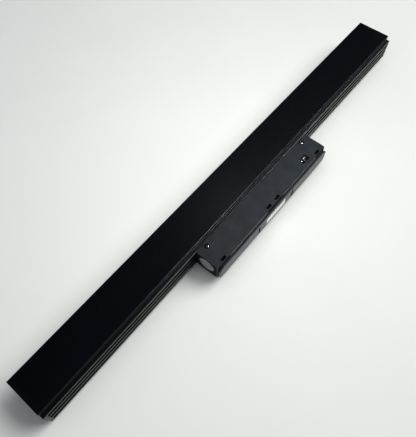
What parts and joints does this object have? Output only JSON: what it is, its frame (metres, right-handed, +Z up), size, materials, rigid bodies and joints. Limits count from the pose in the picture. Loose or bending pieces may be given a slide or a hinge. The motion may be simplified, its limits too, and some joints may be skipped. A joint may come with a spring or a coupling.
{
  "type": "linear track light",
  "caption": "Slim linear LED luminaire: stepped, finned aluminium bar with opal diffuser and a magnetic track adapter box with sprung side contacts on its back, lying on its side.",
  "frame": {"origin": "centre of the footprint on the surface that the lamp lies on, with the floor at Z = 0", "axes": "+X along the bar, +Y from the track adapter towards the diffuser, +Z up, square to the two broad faces of the bar"},
  "size_m": [0.6, 0.0782, 0.0378],
  "materials": {
    "black_anodised": "satin black anodised extrusion",
    "cap_plastic": "satin black moulded cap",
    "adapter_plastic": "fine-textured black moulding",
    "opal_diffuser": "opal, satin outside",
    "led_board_white": "white solder mask",
    "driver_board_green": "green solder mask",
    "zinc_steel": "zinc plated",
    "nickel_plate": "bright nickel plate",
    "contact_alloy": "plated spring alloy",
    "black_rubber": "matt",
    "red_insulation": "satin lead insulation",
    "black_insulation": "satin lead insulation",
    "component_black": "moulded epoxy",
    "capacitor_sleeve": "dark blue sleeve",
    "ferrite": "matt sintered",
    "cream_plastic": "cream moulding",
    "label_grey": "blank paper label"
  },
  "bodies": {
    "lamp": {"adapter_housing": "adapter_plastic", "adapter_lid": "adapter_plastic", "board_link": "cream_plastic", "board_screw_1": "zinc_steel", "board_screw_2": "zinc_steel", "board_screw_3": "zinc_steel", "board_screw_4": "zinc_steel", "bracket_screw_1": "zinc_steel", "bracket_screw_2": "zinc_steel", "bracket_screw_3": "zinc_steel", "bracket_screw_4": "zinc_steel", "bridge_rectifier": "component_black", "cap_screw_far_1": "zinc_steel", "cap_screw_far_2": "zinc_steel", "cap_screw_near_1": "zinc_steel", "cap_screw_near_2": "zinc_steel", "contact_block": "cream_plastic", "contact_spring_lower": "zinc_steel", "contact_spring_upper": "zinc_steel", "controller_chip": "component_black", "diffuser": "opal_diffuser", "driver_board": "driver_board_green", "driver_screw_1": "zinc_steel", "driver_screw_2": "zinc_steel", "end_cap_far": "cap_plastic", "end_cap_near": "cap_plastic", "end_label": "label_grey", "input_capacitor": "capacitor_sleeve", "lamp_extrusion": "black_anodised", "lead_negative": "black_insulation", "lead_positive": "red_insulation", "led_board_far": "led_board_white", "led_board_near": "led_board_white", "magnet_carrier": "adapter_plastic", "magnet_yoke": "zinc_steel", "mount_bracket_far": "zinc_steel", "mount_bracket_near": "zinc_steel", "output_capacitor": "capacitor_sleeve", "output_terminal": "cream_plastic", "power_inductor": "ferrite", "side_screw_lower_far": "nickel_plate", "side_screw_lower_near": "nickel_plate", "side_screw_upper_far": "nickel_plate", "side_screw_upper_near": "nickel_plate", "switching_transistor": "component_black", "track_magnet": "nickel_plate", "wire_grommet": "black_rubber"},
    "upper_contact": {"contact_upper": "contact_alloy"},
    "lower_contact": {"contact_lower": "contact_alloy"}
  },
  "joints": [
    {"name": "upper_contact_press", "type": "slide", "parent": "lamp", "child": "upper_contact", "axis": [0, 0, -1], "range_m": [0, 0.0013], "stiffness_N_per_m": 400, "deforming": ["contact_spring_upper"]},
    {"name": "lower_contact_press", "type": "slide", "parent": "lamp", "child": "lower_contact", "axis": [0, 0, 1], "range_m": [0, 0.0013], "stiffness_N_per_m": 400, "deforming": ["contact_spring_lower"]}
  ]
}
